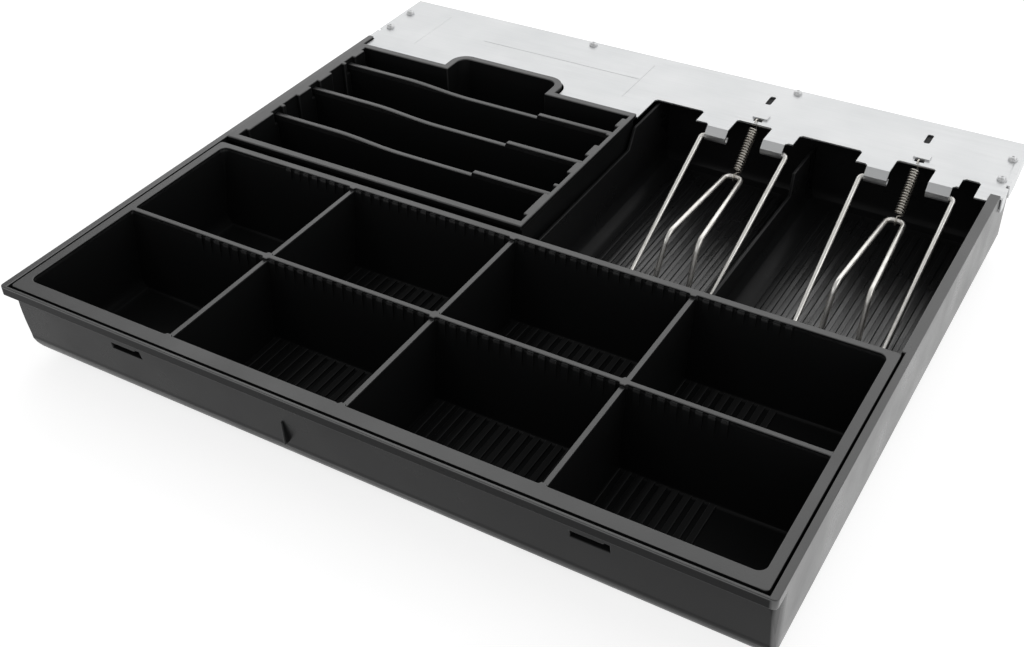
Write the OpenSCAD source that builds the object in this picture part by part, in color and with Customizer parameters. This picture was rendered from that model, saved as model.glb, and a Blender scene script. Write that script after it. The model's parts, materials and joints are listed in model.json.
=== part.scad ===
// Cash drawer insert: a moulded tub that holds a lift-out coin tray, a lift-out box with
// dividers for upright notes, and two open bays where sprung wire clips hold notes flat.
// A steel plate across the rear carries the clips. Millimetres, Z up, front towards -Y.

/* [Tub] */
// Width across the tub's side walls
tub_w = 380.2; // [350:0.1:420]
// Height of the tub from the surface to its rim
tub_h = 49; // [42:1:64]
// Thickness of the tub's walls
wall = 3.5; // [2:0.1:4]
// Thickness of the tub's floor
floor_t = 2.2; // [1.6:0.1:3.2]
// Radius of the tub's bottom edges
edge_r = 15; // [9:0.5:17]
// Radius of the tub's upright corners
corner_r = 8; // [3:0.5:9]
// How far the front lip stands out from the front wall
lip_out = 3.7; // [3:0.1:6]
// Height of the front lip
lip_h = 5; // [4:0.5:8]
// Thickness of the front lip
lip_t = 1.6; // [1.2:0.1:3.2]
// Radius of the front lip's outer corners
lip_r = 2; // [1:0.5:4]
// How far the front wall leans in at its foot
front_lean = 5; // [0:0.5:6]
// Thickness of the wall behind the coin tray
cross_t = 2.2; // [1.6:0.1:4]
// Width of the rim beside the right-hand note bay
flange_w = 5.2; // [4.8:0.1:14]
// Thickness of that rim and of the ledges under the plate
flange_t = 4; // [3:0.5:6]

/* [Front slots] */
// Length of each slot in the front wall
slot_w = 17; // [8:0.5:30]
// Height of each slot
slot_h = 3.6; // [2:0.1:5]
// Distance of each slot from the middle
slot_x = 117.3; // [60:0.1:140]
// How far the pair of slots sits to the left of the middle
slot_left = 2.8; // [-4:0.1:4]
// Depth of the slots' middle below the rim
slot_drop = 15; // [12:0.5:20]

/* [Coin tray] */
// Depth of the coin tray from front to back
coin_d = 148.7; // [120:0.1:180]
// Gap between the inserts' rims and the tub's side walls
coin_gap = 1; // [0.6:0.1:3]
// Gap between the coin tray's rim and the front lip
lip_gap = 1.2; // [0.6:0.1:3]
// Gap on each side of the wall behind the coin tray
cross_gap = 1.3; // [0.6:0.1:3]
// Spacing of the dividers between the columns
coin_col = 94; // [70:1:100]
// How far the column dividers sit to the left of the middle
coin_left = 2.3; // [-4:0.1:4]
// Spacing of the row divider from the front edge
coin_row = 76.4; // [50:0.1:85]
// Thickness of the coin tray's walls
coin_wall = 2; // [1.2:0.1:3]
// Thickness of the coin tray's dividers
coin_div = 2.6; // [1.6:0.1:4]
// Thickness of the coin tray's floor
coin_floor = 1.6; // [1.2:0.1:3]
// Width of the coin tray's side rims
coin_rim_side = 4.6; // [4:0.1:8]
// Width of the coin tray's back rim
coin_rim_back = 3.8; // [3:0.1:8]
// Thickness of the inserts' rims
rim_t = 3; // [2:0.1:4]
// Radius of the coin tray's inner upright corners
cup_r = 4; // [3:0.5:10]
// Radius of the cups' corners along the dividers
cell_r = 1.2; // [0.6:0.1:2]
// How far the column dividers stay below the rim
div_drop = 1.5; // [0:0.1:4]
// How far the ribs on the cups' back walls stay below the rim
rib_drop = 0.5; // [0.2:0.1:4]

/* [Note box] */
// Depth of the note box without its finger recess
note_d = 125.5; // [110:0.1:150]
// Thickness of the note box's walls
note_wall = 2; // [1.2:0.1:3]
// Width of the note box's front, rear and left rims
note_rim = 4.3; // [3.5:0.1:7]
// Width of the note box's right rim between its guides
note_rim_right = 2.6; // [2.2:0.1:5]
// How far the note box stands above the tub's rim
note_proud = 1; // [0:0.1:3]
// Thickness of the note box's floor
note_floor = 1.6; // [1.2:0.1:3]
// Width of the finger recess across its rim
recess_w = 73; // [50:1:90]
// Depth of the finger recess
recess_d = 16; // [8:0.5:20]
// Corner radius of the finger recess
recess_r = 10; // [6:0.5:12]
// Distance of the recess from the box's middle
recess_x = 3.6; // [-10:0.1:10]

/* [Dividers] */
// Thickness of the note dividers
divider_t = 3; // [1.4:0.1:4]
// Spacing of the note dividers
divider_pitch = 34.1; // [28:0.1:38]
// Distance of the front divider from the box's front edge
divider_first = 35.9; // [32:0.1:42]
// How far the dividers stay below the box's rim
divider_drop = 2.6; // [1:0.1:6]
// Depth of the scoop along each divider's top
scoop = 2.3; // [0.5:0.1:6]
// How far the divider guides stand in from the walls
guide_h = 2.2; // [1.2:0.1:4]
// Play of a divider in its guides
play = 0.3; // [0.2:0.05:0.6]
// Gap beside a divider where its guides meet the box's rim
guide_gap = 2.6; // [1:0.1:4]
// Depth below the rim at which the guides close up to a divider
guide_low = 7; // [5:0.5:12]

/* [Flat note bays] */
// Width of the left-hand flat bay
bay_w = 86.3; // [82:0.1:95]
// Width of the right-hand flat bay, up to the tub's side wall
bay_b_w = 98.8; // [94:0.1:108]
// Thickness of the walls beside the flat bays
bay_wall = 1.7; // [1.2:0.1:3]
// Radius along the bays' floors
bay_r = 9; // [7:0.5:10]
// Spacing of the moulded floor ribs
rib_pitch = 5.6; // [4:0.1:8]
// Width of a rib
rib_w = 3.2; // [0.8:0.1:3.8]
// Height of a rib
rib_h = 0.8; // [0.4:0.1:1.5]

/* [Rear plate] */
// Thickness of the steel plate
plate_t = 1; // [0.8:0.1:1.5]
// How far the plate lies below the tub's rim
plate_drop = 1.5; // [0.5:0.1:3]
// Depth of the plate behind the clips' knuckles
plate_d = 63.5; // [56:0.5:80]
// How far the plate reaches behind the tub
overhang = 29.5; // [20:0.5:40]
// Height of the plate's folded side tabs
side_tab_h = 9; // [6:0.5:18]
// Depth of the hand cut-outs along the plate's front
hand_cut = 17; // [10:0.5:18]
// Depth of the slanted fold above each knuckle
knuckle_fold = 3.6; // [2:0.1:4]

/* [Note clips] */
// Spacing of the two clips
clip_pitch = 88.5; // [84:0.5:94]
// Distance of the left clip's middle from the wall between the bays
clip_side = 29.8; // [28:0.1:34]
// Diameter of the clip wire
clip_wire = 2.8; // [1.8:0.1:3.2]
// Half the spacing of a clip's outer legs
leg_x = 24.2; // [23:0.1:25.5]
// How far the legs draw in towards the floor
leg_draw = 2; // [0.5:0.1:3]
// Half the spacing of the uprights at a clip's front
prong_x = 9.2; // [7:0.1:12]
// Half the width of the loop that the spring pulls
loop_x = 4.5; // [4:0.25:6]
// Reach of the clip in front of its pivot
clip_reach = 91; // [60:0.5:110]
// Depth of the pivot below the rim
pivot_drop = 7; // [6:0.5:9]
// Bend radius of the clip wire at its corners
bend_r = 2.5; // [2.2:0.1:3.4]
// Bend radius at the top of the clip's uprights
prong_r = 9; // [3:0.5:12]
// Bend radius of the loop that the spring pulls
loop_r = 3.9; // [3:0.1:4]
// Radial clearance of the wire in its knuckles
pivot_fit = 0.05; // [0.02:0.01:0.1]

/* [Springs] */
// Outer diameter of a spring
spring_od = 5.4; // [3.6:0.1:6]
// Diameter of the spring wire
spring_wire = 0.8; // [0.5:0.05:0.9]
// Number of curls in a spring
spring_turns = 17; // [10:1:20]

/* [Screws] */
// Diameter of a screw head
head_d = 5; // [4:0.1:5.6]
// Height of a screw head
head_h = 2; // [1:0.1:3]
// Diameter of a screw's shank
shank_d = 2.8; // [2:0.1:3]

/* [Hidden] */
$fn = 48;

// Amount by which cuts run past a face, and by which joined shapes reach into each other
over = 1;
// Gap under a lift-out insert, and between a wire and what it lies on
seat = 0.3;

// Places along Y, from the front of the lip
coin_y0 = lip_t + lip_gap;
coin_y1 = coin_y0 + coin_d;
cross_y0 = coin_y1 + cross_gap;
cross_y1 = cross_y0 + cross_t;
note_y0 = cross_y1 + cross_gap;
note_y1 = note_y0 + note_d;
recess_y1 = note_y1 + recess_d;
knuckle_r = clip_wire / 2 + pivot_fit + plate_t;
front_gap = 0.8;
plate_y0 = note_y1 + front_gap;
knuckle_set = 6.3;
knuckle_y = plate_y0 + knuckle_set;
pivot_y = knuckle_y + knuckle_r;
plate_y1 = knuckle_y + plate_d;
rim_set = 5;
rim_end = knuckle_y + rim_set;
tub_y1 = plate_y1 - overhang;
part_d = plate_y1;

// Heights
lip_z = tub_h - lip_h;
step_z = tub_h - rim_t - seat;
seat_z = tub_h - plate_drop - plate_t;
plate_z = seat_z + plate_t;
pivot_z = tub_h - pivot_drop;
note_top = tub_h + note_proud;

// Places across X
half_w = tub_w / 2;
in_x = half_w - wall;
in_r = bay_r;
coin_x = in_x - coin_gap;
wall_b1 = in_x - bay_b_w;
wall_b0 = wall_b1 - bay_wall;
wall_a1 = wall_b0 - bay_w;
wall_a0 = wall_a1 - bay_wall;
note_x0 = -in_x + coin_gap;
note_x1 = wall_a0 - coin_gap;
flange_x = half_w - flange_w;
clips = [wall_b0 - clip_side, wall_b0 - clip_side + clip_pitch];

// Stepped tops of the walls beside the flat bays: low part, high part and the ramp between
wall_a_low = tub_h - 14.5;
wall_a_high = tub_h - 4;
wall_b_low = tub_h - 26;
wall_b_high = tub_h - 13.5;
ramp_a = [knuckle_y - 20, knuckle_y - 13];
ramp_b = [knuckle_y - 5, knuckle_y - 2];
cross_note = tub_h - 2.5;
cross_flat = tub_h - 4;

// Sections of the lift-out inserts
insert_z = floor_t + seat;
insert_r = in_r;
coin_in = coin_x - coin_rim_side;
coin_f = lip_out + wall + coin_gap + coin_wall;
coin_b = coin_y1 - coin_rim_back;
note_in0 = note_x0 + note_rim;
note_in1 = note_x1 - note_rim_right;
note_f = note_y0 + note_rim;
note_b = note_y1 - note_rim;
note_zf = insert_z + note_floor;
recess_mid = (note_x0 + note_x1) / 2 + recess_x;
divider_y = [for (i = [0:2]) note_y0 + divider_first + i * divider_pitch];
// Length of the guide blocks before and after each divider, front to rear
guides = [[24, 5], [14, 14], [5, 12]];

// The clip's wire route, and the bar of the plate that its spring hooks on
floor_wire = floor_t + rib_h + seat + clip_wire / 2;
foot_back = 4.5;
knee_back = 16;
knee_in = 0.8;
loop_back = 9.3;
loop_y = pivot_y - loop_back;
loop_drop = 15;
loop_z = pivot_z - loop_drop;
prong_drop = 22.5;
prong_z = tub_h - prong_drop;
knuckle_in = 10;
knuckle_out = leg_x - bend_r + play;
journal_in = 0.6;
bar_w = 3;
bar_back = 14.45;
bar_y = pivot_y + bar_back;
hook_y = bar_y + bar_w / 2;
hook_z = seat_z + plate_t / 2;
window_w = 5;
window_d = 2.6;
window_y = bar_y + bar_w;

// The screws that hold the plate: one row along each side and two by the rear edge
hole_play = 0.25;
bore_play = 0.05;
boss_wall = 1.8;
screw_hole = shank_d / 2 + hole_play;
screw_bore = shank_d / 2 + bore_play;
screw_len = 7;
boss_r = shank_d / 2 + boss_wall;
screw_in = 3.9;
row_back = [41.1, 19.1];
side_rows = [for (d = row_back) plate_y1 - d];
rear_places = [-64.3, 64.4];
screws = concat(
    [for (s = [-1, 1], y = side_rows) [s * (half_w - screw_in), y]],
    [for (x = rear_places) [x, plate_y1 - boss_r - over]]
);

// Puts a shape that is drawn from the front of the lip in the part's own frame
module placed() {
    translate([0, -part_d / 2, 0]) children();
}

// Box between two opposite corners
module block(low, high) {
    translate(low) cube(high - low);
}

// Flat rectangle between two opposite corners
module rect(low, high) {
    translate(low) square(high - low);
}

// Extrudes a section in X and Z along Y
module along_y(y0, y1) {
    translate([0, y1, 0]) rotate([90, 0, 0]) linear_extrude(y1 - y0) children();
}

// Extrudes a side view in Y and Z along X
module along_x(x0, x1) {
    translate([x0, 0, 0]) rotate([90, 0, 90]) linear_extrude(x1 - x0) children();
}

// Flat rectangle with four rounded corners
module soft_rect(low, high, r) {
    rect([low.x + r, low.y], [high.x - r, high.y]);
    rect([low.x, low.y + r], [high.x, high.y - r]);
    for (x = [low.x + r, high.x - r], y = [low.y + r, high.y - r]) {
        translate([x, y]) circle(r);
    }
}

// Section of a trough with rounded lower corners
module trough(x0, x1, z0, z1, r) {
    rect([x0 + r, z0], [x1 - r, z1]);
    rect([x0, z0 + r], [x1, z1]);
    for (x = [x0 + r, x1 - r]) translate([x, z0 + r]) circle(r);
}

// Side view of a trough whose front wall leans in towards its foot
module side_view(y0, y1, z0, z1, r, rear_r) {
    foot = y0 + front_lean;
    polygon([
        [foot, z0 + r], [foot + r, z0], [y1 - rear_r, z0], [y1, z0 + rear_r],
        [y1, z1], [y0, z1], [y0, lip_z]
    ]);
    translate([foot + r, z0 + r]) circle(r);
    translate([y1 - rear_r, z0 + rear_r]) circle(rear_r);
}

// Row of ribs as one comb between u0 and u1, standing on v = 0
module comb(u0, u1) {
    n = floor((u1 - u0 - rib_w) / rib_pitch);
    first = (u0 + u1 - n * rib_pitch) / 2;
    teeth = [
        for (i = [0:n], p = [[-1, 0], [-1, 1], [1, 1], [1, 0]])
            [first + i * rib_pitch + p.x * rib_w / 2, p.y * rib_h]
    ];
    polygon(concat(teeth, [[first + n * rib_pitch + rib_w / 2, -over / 2],
                           [first - rib_w / 2, -over / 2]]));
}

// Floor ribs between two places along Y
module floor_ribs(x0, x1, y0, y1, z) {
    along_y(y0, y1) translate([0, z]) comb(x0, x1);
}

// The tub without its hollows
module tub_block() {
    intersection() {
        along_y(0, tub_y1) trough(-half_w, half_w, 0, tub_h, edge_r);
        along_x(-half_w, half_w) side_view(lip_out, tub_y1, 0, tub_h, edge_r, edge_r);
        linear_extrude(tub_h) soft_rect([-half_w, lip_out], [half_w, tub_y1], corner_r);
    }
    translate([0, 0, lip_z]) linear_extrude(lip_h) {
        soft_rect([-half_w, 0], [half_w, lip_out + 3 * corner_r], lip_r);
    }
}

// The coin bay, the note box's bay and the two flat bays
module tub_hollows() {
    top = tub_h + over;
    intersection() {
        along_x(-half_w, half_w) {
            side_view(lip_out + wall, tub_y1 - wall, floor_t, top, in_r, in_r);
        }
        union() {
            along_y(0, cross_y0) trough(-in_x, in_x, floor_t, top, in_r);
            along_y(cross_y1, tub_y1) trough(-in_x, wall_a0, floor_t, top, in_r);
            along_y(cross_y1, tub_y1) trough(wall_a1, wall_b0, floor_t, top, bay_r);
            along_y(cross_y1, tub_y1) trough(wall_b1, in_x, floor_t, top, bay_r);
        }
    }
    block([-in_x, lip_t, step_z], [in_x, lip_out + wall + over, top]);
}

// What is cut away above a wall with a low front part and a high rear part
module wall_top(x0, x1, low, high, ramp) {
    along_x(x0 - over / 4, x1 + over / 4) polygon([
        [cross_y0 - over, low], [ramp[0], low], [ramp[1], high], [tub_y1 - wall, high],
        [tub_y1 - wall, tub_h + over], [cross_y0 - over, tub_h + over]
    ]);
}

// One slot in the front wall, taller at its right-hand end
module front_slot(x) {
    z = tub_h - slot_drop;
    y1 = lip_out + wall + front_lean;
    end_w = slot_w / 7;
    end_h = slot_h / 4;
    block([x - slot_w / 2, 0, z - slot_h / 2], [x + slot_w / 2, y1, z + slot_h / 2]);
    block([x + slot_w / 2 - end_w, 0, z], [x + slot_w / 2, y1, z + slot_h / 2 + end_h]);
}

// Upright wedge on the leaning front wall
module front_wedge() {
    wedge_x = -33.2;
    wedge_w = 1;
    wedge_y = lip_out + front_lean * 0.36;
    block([wedge_x - wedge_w / 2, wedge_y, edge_r + over],
          [wedge_x + wedge_w / 2, lip_out + wall + front_lean / 2, tub_h - 20]);
}

module tub() {
    rib_end = tub_y1 - wall - in_r;
    color([0.1, 0.1, 0.11]) placed() difference() {
        union() {
            difference() {
                tub_block();
                tub_hollows();
                wall_top(wall_a0, wall_a1, wall_a_low, wall_a_high, ramp_a);
                wall_top(wall_b0, wall_b1, wall_b_low, wall_b_high, ramp_b);
                block([-in_x, cross_y0 - over, cross_note],
                      [wall_a1, cross_y1 + over, tub_h + over]);
                block([wall_a0, cross_y0 - over, cross_flat],
                      [in_x, cross_y1 + over, tub_h + over]);
            }
            // rim beside the right-hand bay, and the ledges and shelf that carry the plate
            block([flange_x, cross_y0, tub_h - flange_t], [half_w - over, rim_end + over, tub_h]);
            for (s = [-1, 1]) {
                block([min(s * flange_x, s * (half_w - over)), rim_end - over, seat_z - flange_t],
                      [max(s * flange_x, s * (half_w - over)), tub_y1 - over, seat_z]);
            }
            block([-half_w + over, tub_y1 - over, seat_z - flange_t],
                  [half_w - over, plate_y1 - over, seat_z]);
            for (p = screws) translate([p.x, p.y, seat_z - screw_len - over]) {
                cylinder(r = boss_r, h = screw_len + over / 2);
            }
            floor_ribs(wall_a1 + bay_r, wall_b0 - bay_r, cross_y1 - over, rib_end, floor_t);
            floor_ribs(wall_b1 + bay_r, in_x - bay_r, cross_y1 - over, rib_end, floor_t);
            front_wedge();
        }
        block([-tub_w, rim_end, seat_z], [tub_w, tub_y1 + overhang, tub_h + over]);
        for (s = [-1, 1]) front_slot(s * slot_x - slot_left);
        for (p = screws) translate([p.x, p.y, seat_z - screw_len]) {
            cylinder(r = screw_bore, h = screw_len + over);
        }
    }
}

// Places of the column dividers, and of the coin cups' edges as pairs across X and along Y
columns = [for (i = [-1:1]) i * coin_col - coin_left];
cup_x = [
    [-coin_in, columns[0] - coin_div / 2],
    [columns[0] + coin_div / 2, columns[1] - coin_div / 2],
    [columns[1] + coin_div / 2, columns[2] - coin_div / 2],
    [columns[2] + coin_div / 2, coin_in]
];
cup_row = coin_y0 + coin_row;
cup_y = [[coin_f, cup_row - coin_div / 2], [cup_row + coin_div / 2, coin_b]];
coin_zf = insert_z + coin_floor;
// How far the back walls of the front and of the rear cups lean in, and the fillet at their feet
cup_lean = [4.2, 6.5];
foot_r = 2;

// The coin tray's walls, either their outside or, moved in by the wall, their inside
module coin_shell(inset, z0, z1, r) {
    intersection() {
        along_y(coin_y0, coin_y1) {
            trough(-coin_in - coin_wall + inset, coin_in + coin_wall - inset, z0, z1, r);
        }
        along_x(-coin_x, coin_x) {
            side_view(coin_f - coin_wall + inset, coin_b + coin_wall - inset, z0, z1, r,
                      cup_r - inset);
        }
    }
}

// Side view of a cup's back wall, which leans in towards a small fillet along its foot
module cup_back(y, lean) {
    foot = y - lean;
    top = tub_h - 2 * div_drop;
    difference() {
        polygon([
            [y + over / 2, coin_zf - over / 2], [foot - foot_r, coin_zf - over / 2],
            [foot - foot_r, coin_zf + foot_r], [foot, coin_zf + foot_r], [y, top], [y + over / 2, top]
        ]);
        translate([foot - foot_r, coin_zf + foot_r]) circle(foot_r);
    }
}

module coin_tray() {
    band = coin_col * 1.5;
    color([0.12, 0.12, 0.13]) placed() difference() {
        union() {
            difference() {
                union() {
                    coin_shell(0, insert_z, tub_h, insert_r);
                    translate([0, 0, tub_h - rim_t]) linear_extrude(rim_t) {
                        soft_rect([-coin_x, coin_y0], [coin_x, coin_y1], cup_r / 2);
                    }
                }
                intersection() {
                    coin_shell(coin_wall, coin_zf, tub_h + over, insert_r - coin_wall);
                    linear_extrude(tub_h + over) intersection() {
                        soft_rect([-coin_in, coin_f], [coin_in, coin_b], cup_r);
                        for (cx = cup_x, cy = cup_y) {
                            soft_rect([cx[0], cy[0]], [cx[1], cy[1]], cell_r);
                        }
                    }
                }
            }
            intersection() {
                coin_shell(0, insert_z, tub_h, insert_r);
                for (i = [0, 1]) along_x(-coin_in, coin_in) cup_back(cup_y[i][1], cup_lean[i]);
            }
            // ribs on the floors and up the back walls, in the middle of the tray
            for (cy = cup_y) {
                floor_ribs(-band, band, cy[0] + front_lean + insert_r, cy[1] + over, coin_zf);
                translate([0, cy[1], coin_zf]) linear_extrude(tub_h - coin_zf - rib_drop) {
                    mirror([0, 1]) comb(-band, band);
                }
            }
        }
        for (x = columns, cy = cup_y) {
            block([x - coin_div / 2 - rib_h, cy[0] + cell_r, tub_h - div_drop],
                  [x + coin_div / 2 + rib_h, cy[1] - cell_r, tub_h + over]);
        }
    }
}

// Plan of the note box: its inside grown by a given amount on each side
module note_plan(front, rear, left, right, r) {
    rect([note_in0 - left, note_f - front], [note_in1 + right, note_b + rear]);
    half = recess_w / 2 - note_rim + left;
    soft_rect([recess_mid - half, note_b - recess_r - r],
              [recess_mid + half, note_b + recess_d + rear], r);
}

// Blocks that guide the ends of the dividers, on the left and on the right wall. They close up
// to a divider only some way below the rim
module note_guides() {
    half = divider_t / 2;
    levels = [[half + play, note_top - guide_low], [half + guide_gap, note_top]];
    for (i = [0:2], level = levels) {
        y = divider_y[i];
        gap = level[0];
        y0 = max(y - half - guides[i][0], note_f - over);
        y1 = min(y + half + guides[i][1], note_b + over);
        for (run = [[y0, y - gap], [y + gap, y1]]) {
            block([note_in0 - over, run[0], insert_z], [note_in0 + guide_h, run[1], level[1]]);
            block([note_in1 - guide_h, run[0], insert_z], [note_in1 + over, run[1], level[1]]);
        }
    }
}

module note_box() {
    inner_r = recess_r - note_rim;
    grow = note_wall / 2;
    color([0.1, 0.1, 0.11]) placed() {
        difference() {
            union() {
                intersection() {
                    along_y(note_y0, recess_y1) {
                        trough(note_in0 - note_wall, note_in1 + note_wall, insert_z, note_top, insert_r);
                    }
                    linear_extrude(note_top) {
                        note_plan(note_wall, note_wall, note_wall, note_wall, inner_r + note_wall);
                    }
                }
                translate([0, 0, note_top - rim_t]) linear_extrude(rim_t) {
                    note_plan(note_rim, note_rim, note_rim, note_rim_right, recess_r);
                }
            }
            intersection() {
                along_y(note_y0, recess_y1) {
                    trough(note_in0, note_in1, note_zf, note_top + over, insert_r - note_wall);
                }
                linear_extrude(note_top + over) note_plan(0, 0, 0, 0, inner_r);
            }
        }
        intersection() {
            note_guides();
            along_y(note_y0, note_y1) {
                trough(note_in0 - grow, note_in1 + grow, note_zf - grow / 2, note_top, insert_r);
            }
        }
    }
}

// Side view of a divider: high at the left, an easy curve down, and a step up at the right
module divider_face() {
    x0 = note_in0 + play;
    x1 = note_in1 - play;
    z0 = note_zf + seat;
    top = note_top - divider_drop;
    width = x1 - x0;
    dip = [0.23, 0.48];
    curve = [
        for (t = [0:0.1:1])
            [x0 + width * (dip[0] + (dip[1] - dip[0]) * t), top - scoop * (1 - cos(180 * t)) / 2]
    ];
    step = x0 + width * 0.73;
    foot = insert_r;
    polygon(concat(
        [[x0 + foot, z0], [x0, z0 + foot], [x0, top]],
        curve,
        [[step, top - scoop], [step + scoop / 2, top], [x1, top], [x1, z0 + foot], [x1 - foot, z0]]
    ));
}

module note_divider(i) {
    color([0.12, 0.12, 0.13]) placed() {
        along_y(divider_y[i] - divider_t / 2, divider_y[i] + divider_t / 2) divider_face();
    }
}

module note_divider_front() {
    note_divider(0);
}

module note_divider_middle() {
    note_divider(1);
}

module note_divider_rear() {
    note_divider(2);
}

// Cut into the plate's front edge as far back as y1, with chamfered rear corners
module front_cut(x0, x1, y1, chamfer) {
    y0 = knuckle_y - over;
    polygon([
        [x0, y0], [x1, y0], [x1, y1 - chamfer], [x1 - chamfer, y1],
        [x0 + chamfer, y1], [x0, y1 - chamfer]
    ]);
}

// Openings that one clip and its spring need, and the slot behind them
module clip_cuts(x) {
    slot = [3.2, 9.6];
    slot_at = [-2.3, -18.4];
    front_cut(x - knuckle_in, x + knuckle_in, bar_y, over);
    rect([x - window_w / 2, window_y], [x + window_w / 2, window_y + window_d]);
    translate([x, plate_y1] + slot_at) soft_rect(-slot / 2, slot / 2, over);
    for (s = [-1, 1]) {
        mid = x + s * (knuckle_in + knuckle_out) / 2;
        half = (knuckle_out - knuckle_in) / 2;
        rect([mid - half, knuckle_y - over], [mid + half, knuckle_y + knuckle_fold]);
    }
}

// The plate laid flat, with everything that is cut out of it
module plate_plan() {
    leg_w = 5;
    leg_y = pivot_y + 3.5;
    hand_y = knuckle_y + hand_cut;
    hand_a = clips[0] - knuckle_out - 1.5 * leg_w;
    mid_a = clips[0] + knuckle_out + 0.75 * leg_w;
    mid_b = clips[1] - knuckle_out - 1.3 * leg_w;
    hand_b = clips[1] + knuckle_out + leg_w / 2;
    last_w = 9;
    cut_chamfer = 1.4;
    last_y = hand_y - 2;
    flat_x = wall_a0 - front_gap;
    difference() {
        union() {
            rect([-half_w + play, rim_end + play], [half_w - play, plate_y1]);
            rect([-in_x + play, plate_y0], [flat_x, rim_end + over]);
            rect([flat_x - over, knuckle_y], [flange_x - play, rim_end + over]);
        }
        soft_rect([recess_mid - recess_w / 2 - front_gap, plate_y0 - 2 * recess_r],
                  [recess_mid + recess_w / 2 + front_gap, recess_y1 + front_gap], recess_r);
        for (x = clips) clip_cuts(x);
        for (cut = [
            [flat_x, hand_a, hand_y], [hand_a - over, clips[0] - knuckle_out, leg_y],
            [clips[0] + knuckle_out, mid_a + over, leg_y], [mid_a, mid_b, hand_y],
            [mid_b - over, clips[1] - knuckle_out, leg_y],
            [clips[1] + knuckle_out, hand_b + over, leg_y], [hand_b, hand_b + last_w, last_y]
        ]) front_cut(cut[0], cut[1], cut[2], cut_chamfer);
        for (p = screws) translate(p) circle(screw_hole);
    }
}

// Side view of a knuckle: the sheet slants down, folds and curls round the clip's wire
module knuckle_view() {
    fold_y = knuckle_y + knuckle_fold;
    fold_z = plate_z - knuckle_fold;
    miter = plate_t * tan(22.5);
    difference() {
        union() {
            polygon([
                [knuckle_y, pivot_z], [knuckle_y, fold_z], [fold_y, plate_z],
                [fold_y + over, plate_z], [fold_y + over, seat_z], [fold_y + miter, seat_z],
                [knuckle_y + plate_t, fold_z - miter], [knuckle_y + plate_t, pivot_z]
            ]);
            difference() {
                translate([pivot_y, pivot_z]) circle(knuckle_r);
                rect([knuckle_y + plate_t, pivot_z + play], [knuckle_y + 3 * knuckle_r, seat_z]);
            }
        }
        translate([pivot_y, pivot_z]) circle(clip_wire / 2 + pivot_fit);
    }
}

// One folded side tab, with its ends slanted as far as the given run
module side_tab(s, y0, y1, front_run, rear_run) {
    x = s * (half_w + play);
    along_x(min(x, x + s * plate_t), max(x, x + s * plate_t)) polygon([
        [y0, plate_z], [y1, plate_z], [y1 - rear_run, plate_z - side_tab_h],
        [y0 + front_run, plate_z - side_tab_h]
    ]);
    block([min(x + s * plate_t, s * (half_w - over)), y0, seat_z],
          [max(x + s * plate_t, s * (half_w - over)), y1, plate_z]);
}

module rear_plate() {
    crease = 0.14;
    side_crease = 70;
    crease_end = 11;
    cross_crease = plate_y1 - 30;
    tongue = [-3.8, 4.6];
    tongue_back = 5;
    tab_w = 11;
    tab_gap = 2.6;
    tab_slant = [1.3, 3.5];
    color([0.8, 0.81, 0.81]) placed() difference() {
        union() {
            translate([0, 0, seat_z]) linear_extrude(plate_t) plate_plan();
            for (x = clips) {
                along_x(x - knuckle_out, x - knuckle_in) knuckle_view();
                along_x(x + knuckle_in, x + knuckle_out) knuckle_view();
                // raised tongue at the rear of the spring's window
                block([x + tongue[0], window_y + window_d, seat_z],
                      [x + tongue[1], window_y + window_d + tongue_back, plate_z + plate_t]);
            }
            for (s = [-1, 1]) {
                side_tab(s, rim_end + play, rim_end + tab_w, tab_slant[0], tab_slant[1]);
                side_tab(s, rim_end + tab_w + tab_gap, plate_y1, tab_slant[1], overhang);
            }
        }
        // shallow creases pressed into the left half
        for (x = [recess_mid - side_crease, recess_mid + side_crease]) {
            block([x - crease, recess_y1 + 2 * over, plate_z - crease],
                  [x + crease, plate_y1 - crease_end, plate_z + over]);
        }
        block([recess_mid - side_crease / 2, cross_crease, plate_z - crease],
              [recess_mid + side_crease - over, cross_crease + 2 * crease, plate_z + over]);
    }
}

// Pan head screws that hold the plate down
module plate_screws() {
    dome = (pow(head_d / 2, 2) + pow(head_h, 2)) / (2 * head_h);
    color([0.75, 0.76, 0.77]) placed() for (p = screws) translate([p.x, p.y, plate_z]) {
        translate([0, 0, -plate_t - screw_len + seat]) {
            cylinder(d = shank_d, h = plate_t + screw_len);
        }
        intersection() {
            cylinder(d = head_d, h = head_h);
            translate([0, 0, head_h - dome]) sphere(dome);
        }
    }
}

function unit(v) = v / norm(v);

// Straight rod between two points
module rod(p, q, r) {
    z = unit(q - p);
    x = unit(cross(abs(z.x) < 0.9 ? [1, 0, 0] : [0, 1, 0], z));
    y = cross(z, x);
    multmatrix([
        [x[0], y[0], z[0], p[0]], [x[1], y[1], z[1], p[1]], [x[2], y[2], z[2], p[2]], [0, 0, 0, 1]
    ]) cylinder(r = r, h = norm(q - p));
}

// Length that a bend at the middle point takes from each straight
function bend_run(a, b, c, r) = let (u = unit(b - a), v = unit(c - b)) r * tan(acos(u * v) / 2);

// Round bend at b between the straights from a and to c
module bend(a, b, c, r, wire_r) {
    u = unit(b - a);
    v = unit(c - b);
    m = unit(v - (u * v) * u);
    k = cross(u, m);
    o = b - bend_run(a, b, c, r) * u + r * m;
    multmatrix([
        [-m[0], u[0], k[0], o[0]], [-m[1], u[1], k[1], o[1]], [-m[2], u[2], k[2], o[2]], [0, 0, 0, 1]
    ]) rotate_extrude(angle = acos(u * v)) translate([r, 0]) circle(wire_r);
}

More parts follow.
